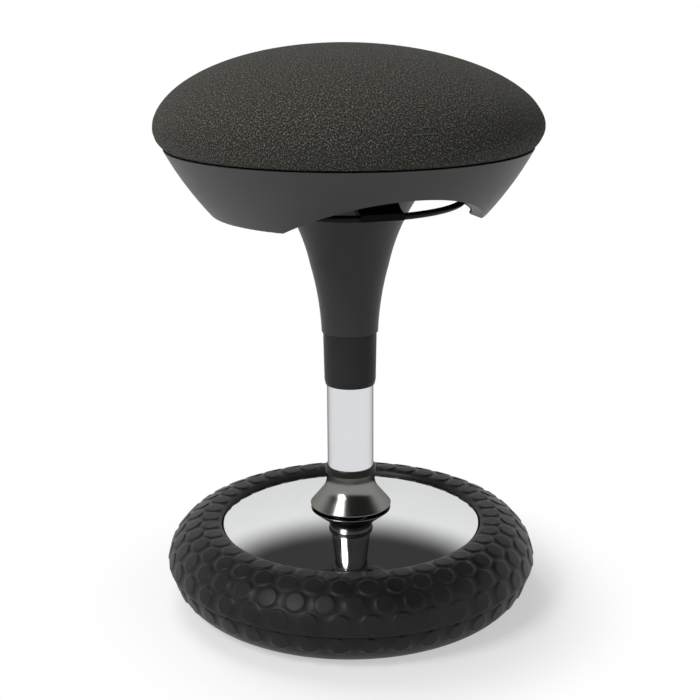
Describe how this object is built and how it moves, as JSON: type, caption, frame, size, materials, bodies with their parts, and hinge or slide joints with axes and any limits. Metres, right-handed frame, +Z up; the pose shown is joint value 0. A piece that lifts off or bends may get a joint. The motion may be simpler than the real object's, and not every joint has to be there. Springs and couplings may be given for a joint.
{
  "type": "wobble stool",
  "caption": "Height-adjustable wobble stool: domed upholstered seat with a release ring under it, gas column, chrome dome and a studded air-filled rubber ring that rocks on the floor.",
  "frame": {"origin": "middle of the floor face, under the column", "axes": "+Z up along the column; -Y towards the front of the seat, where the release ring's broad arm shows; +X to the seat's left as one sits on it"},
  "size_m": [0.403, 0.403, 0.5947],
  "materials": {
    "ring_rubber": "matte moulded rubber",
    "valve_brass": "satin",
    "valve_black": "matte",
    "dome_chrome": "polished",
    "plate_steel": "satin black powder coat",
    "screw_steel": "zinc",
    "weight_iron": "rough, painted black",
    "tube_chrome": "polished",
    "bush_plastic": "natural",
    "cap_plastic": "satin black",
    "race_steel": "ground",
    "cage_brass": "satin",
    "ball_steel": "polished",
    "rod_chrome": "polished",
    "piston_aluminium": "machined",
    "seal_rubber": "matte",
    "stop_rubber": "matte",
    "cylinder_black": "satin black",
    "carrier_black": "satin black powder coat",
    "board_ply": "plywood, black stain",
    "foam_grey": "open-cell foam, pale",
    "cover_fabric": "charcoal weave with pale flecks",
    "shell_plastic": "matte dark grey, fine grain",
    "trumpet_plastic": "matte dark grey",
    "sleeve_plastic": "matte dark grey",
    "lever_black": "gloss black",
    "spider_plastic": "satin black"
  },
  "bodies": {
    "floor_ring": {"ring_lower_half": "ring_rubber", "valve_stem": "valve_brass", "valve_cap": "valve_black"},
    "ring_top": {"ring_upper_half": "ring_rubber"},
    "base": {"chrome_dome": "dome_chrome", "base_plate": "plate_steel", "bead_clamp_ring": "plate_steel", "clamp_screws": "screw_steel", "ballast_weight": "weight_iron", "ballast_screws": "screw_steel", "column_socket": "plate_steel", "stand_tube": "tube_chrome", "guide_bush": "bush_plastic", "bell_cap": "dome_chrome", "collar_ring": "cap_plastic", "lower_race": "race_steel", "ball_cage": "cage_brass", "bearing_balls": "ball_steel"},
    "rod": {"upper_race": "race_steel", "piston_rod": "rod_chrome", "piston": "piston_aluminium", "piston_seal": "seal_rubber", "bump_stop": "stop_rubber", "retaining_clip": "race_steel"},
    "seat": {"gas_cylinder": "cylinder_black", "rod_guide": "piston_aluminium", "valve_body": "piston_aluminium", "taper_socket": "carrier_black", "mounting_plate": "carrier_black", "plate_screws": "screw_steel", "t_nuts": "screw_steel", "seat_board": "board_ply", "fulcrum_ring": "carrier_black", "seat_foam": "foam_grey", "seat_cover": "cover_fabric", "seat_shell": "shell_plastic", "shell_screws": "screw_steel", "trumpet_cover": "trumpet_plastic"},
    "sleeve": {"middle_sleeve": "sleeve_plastic"},
    "lever": {"lever_ring": "lever_black", "lever_spider": "spider_plastic"},
    "button": {"valve_pin": "race_steel"}
  },
  "joints": [
    {"name": "lean_side", "type": "hinge", "parent": "floor_ring", "child": "ring_top", "pos_m": [0, 0, 0.041], "axis": [0, 1, 0], "range_deg": [-6, 6], "stiffness_Nm_per_rad": 900, "deforming": ["ring_lower_half", "ring_upper_half"]},
    {"name": "lean_front", "type": "hinge", "parent": "ring_top", "child": "base", "pos_m": [0, 0, 0.041], "axis": [1, 0, 0], "range_deg": [-6, 6], "stiffness_Nm_per_rad": 900, "deforming": ["ring_lower_half", "ring_upper_half"]},
    {"name": "swivel", "type": "hinge", "parent": "base", "child": "rod", "pos_m": [0, 0, 0.05], "axis": [0, 0, 1], "continuous": true},
    {"name": "height", "type": "slide", "parent": "rod", "child": "seat", "axis": [0, 0, 1], "range_m": [-0.11, 0]},
    {"name": "sleeve_slide", "type": "slide", "parent": "rod", "child": "sleeve", "axis": [0, 0, 1], "range_m": [-0.055, 0]},
    {"name": "release", "type": "hinge", "parent": "seat", "child": "lever", "pos_m": [0, -0.03, 0.4643], "axis": [-1, 0, 0], "range_deg": [0, 6], "stiffness_Nm_per_rad": 2, "springref_deg": -14.32},
    {"name": "pin_press", "type": "slide", "parent": "seat", "child": "button", "axis": [0, 0, -1], "range_m": [0, 0.0037]}
  ],
  "couplings": [
    {"joint": "sleeve_slide", "follows": "height", "ratio": 0.5},
    {"joint": "pin_press", "follows": "release", "m_per_rad": 0.034}
  ]
}
